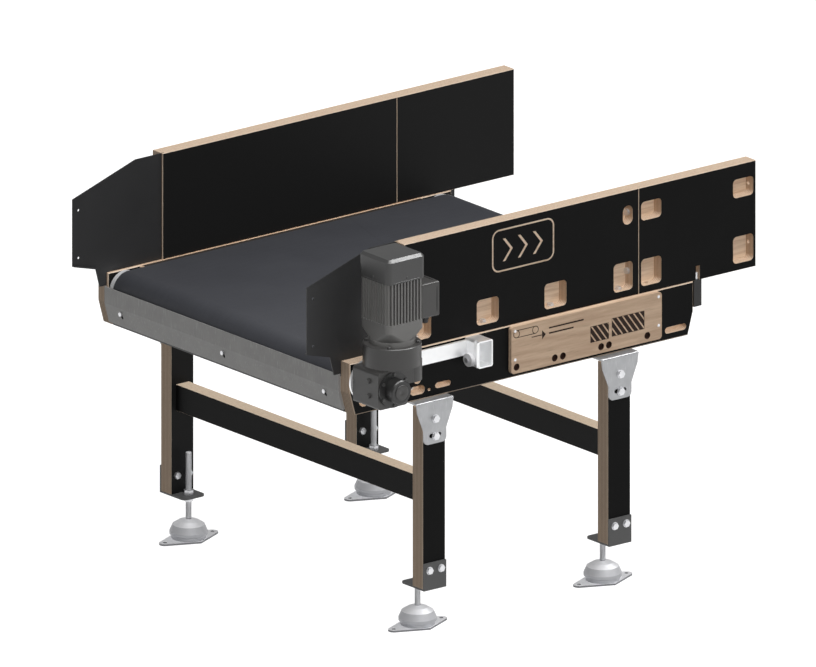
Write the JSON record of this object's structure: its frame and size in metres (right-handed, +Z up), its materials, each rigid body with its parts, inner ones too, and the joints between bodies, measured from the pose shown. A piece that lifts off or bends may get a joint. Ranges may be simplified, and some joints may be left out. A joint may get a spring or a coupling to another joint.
{
  "type": "belt conveyor section",
  "caption": "Short belt conveyor section with film-faced plywood side frames, high side guards, upright gearmotor and levelling legs.",
  "frame": {"origin": "on the floor, at the centre of the rectangle of the four feet", "axes": "+X along the conveyor from the drive end to the tail end, -Y the gearmotor side, +Z up"},
  "size_m": [1.523, 1.2895, 1.13],
  "materials": {
    "film_plywood": "black phenolic film on birch plywood, bare edges",
    "birch_plywood": "bare birch plywood",
    "guide_paint": "satin black paint",
    "black_steel": "black paint",
    "cover_paint": "satin grey paint",
    "drum_steel": "turned steel",
    "belt_rubber": "matt dark blue-grey belt cover",
    "zinc_steel": "zinc plated",
    "dark_steel": "dark grey steel",
    "foot_zinc": "light grey zinc casting",
    "motor_paint": "satin dark grey paint",
    "bronze": "bronze",
    "core_steel": "laminated core",
    "fan_plastic": "black plastic",
    "bright_steel": "bright zinc plated",
    "buffer_rubber": "light grey rubber"
  },
  "bodies": {
    "frame": {"side_plate_near": "film_plywood", "side_plate_far": "film_plywood", "guard_long_near": "film_plywood", "guard_long_far": "film_plywood", "guards_short": "film_plywood", "end_bars": "film_plywood", "guide_sheets": "guide_paint", "label_board": "birch_plywood", "slider_bed": "birch_plywood", "cross_members": "birch_plywood", "belly_pan": "black_steel", "drive_end_cover": "cover_paint", "tail_end_cover": "cover_paint", "drive_bearings": "drum_steel", "fixed_axles": "drum_steel", "takeup_blocks": "zinc_steel", "belt": "belt_rubber", "leg_top_brackets": "zinc_steel", "leg_pivot_bolts": "zinc_steel", "gearbox_housing": "motor_paint", "gearbox_end_cap": "motor_paint", "motor_adapter": "motor_paint", "motor_housing": "motor_paint", "motor_stator": "core_steel", "fan_cover": "motor_paint", "terminal_box": "motor_paint", "terminal_lid": "motor_paint", "cable_gland": "fan_plastic", "torque_arm": "bright_steel", "torque_buffer": "buffer_rubber", "torque_bracket": "bright_steel", "drive_fasteners": "zinc_steel", "guard_bolts": "zinc_steel", "frame_screws": "zinc_steel"},
    "drive_drum": {"drive_drum": "drum_steel", "drive_shaft": "drum_steel", "worm_wheel": "bronze"},
    "tail_drum": {"tail_drum": "drum_steel", "tail_bearings": "drum_steel"},
    "roller_drive": {"return_roller_drive": "drum_steel"},
    "roller_tail": {"return_roller_tail": "drum_steel"},
    "worm": {"worm_shaft": "drum_steel"},
    "rotor": {"motor_rotor": "core_steel", "cooling_fan": "fan_plastic"},
    "leg_frame_drive": {"legs_drive": "film_plywood", "beam_drive": "film_plywood", "foot_brackets_drive": "dark_steel", "leg_bolts_drive": "zinc_steel"},
    "leg_frame_tail": {"legs_tail": "film_plywood", "beam_tail": "film_plywood", "foot_brackets_tail": "dark_steel", "leg_bolts_tail": "zinc_steel"},
    "foot_drive_near": {"foot_drive_near": "foot_zinc"},
    "foot_drive_far": {"foot_drive_far": "foot_zinc"},
    "foot_tail_near": {"foot_tail_near": "foot_zinc"},
    "foot_tail_far": {"foot_tail_far": "foot_zinc"}
  },
  "joints": [
    {"name": "drive_drum_spin", "type": "hinge", "parent": "frame", "child": "drive_drum", "pos_m": [-0.545, 0, 0.755], "axis": [0, 1, 0], "continuous": true},
    {"name": "tail_drum_spin", "type": "hinge", "parent": "frame", "child": "tail_drum", "pos_m": [0.545, 0, 0.755], "axis": [0, 1, 0], "continuous": true},
    {"name": "return_roller_drive_spin", "type": "hinge", "parent": "frame", "child": "roller_drive", "pos_m": [-0.272, 0, 0.6857], "axis": [0, 1, 0], "continuous": true},
    {"name": "return_roller_tail_spin", "type": "hinge", "parent": "frame", "child": "roller_tail", "pos_m": [0.272, 0, 0.6857], "axis": [0, 1, 0], "continuous": true},
    {"name": "worm_spin", "type": "hinge", "parent": "frame", "child": "worm", "pos_m": [-0.495, -0.63, 0.755], "axis": [0, 0, 1], "continuous": true},
    {"name": "motor_spin", "type": "hinge", "parent": "frame", "child": "rotor", "pos_m": [-0.516, -0.63, 0.98], "axis": [0, 0, 1], "continuous": true},
    {"name": "leg_tilt_drive", "type": "hinge", "parent": "frame", "child": "leg_frame_drive", "pos_m": [-0.32, 0, 0.604], "axis": [0, 1, 0], "range_deg": [-15, 15]},
    {"name": "leg_tilt_tail", "type": "hinge", "parent": "frame", "child": "leg_frame_tail", "pos_m": [0.32, 0, 0.604], "axis": [0, 1, 0], "range_deg": [-15, 15]},
    {"name": "foot_height_drive_near", "type": "slide", "parent": "leg_frame_drive", "child": "foot_drive_near", "axis": [0, 0, 1], "range_m": [-0.09, 0.04]},
    {"name": "foot_height_drive_far", "type": "slide", "parent": "leg_frame_drive", "child": "foot_drive_far", "axis": [0, 0, 1], "range_m": [-0.09, 0.04]},
    {"name": "foot_height_tail_near", "type": "slide", "parent": "leg_frame_tail", "child": "foot_tail_near", "axis": [0, 0, 1], "range_m": [-0.09, 0.04]},
    {"name": "foot_height_tail_far", "type": "slide", "parent": "leg_frame_tail", "child": "foot_tail_far", "axis": [0, 0, 1], "range_m": [-0.09, 0.04]}
  ],
  "couplings": [
    {"joint": "tail_drum_spin", "follows": "drive_drum_spin", "ratio": 1},
    {"joint": "return_roller_drive_spin", "follows": "drive_drum_spin", "ratio": -3.42},
    {"joint": "return_roller_tail_spin", "follows": "drive_drum_spin", "ratio": -3.42},
    {"joint": "worm_spin", "follows": "drive_drum_spin", "ratio": 10},
    {"joint": "motor_spin", "follows": "drive_drum_spin", "ratio": -20}
  ]
}
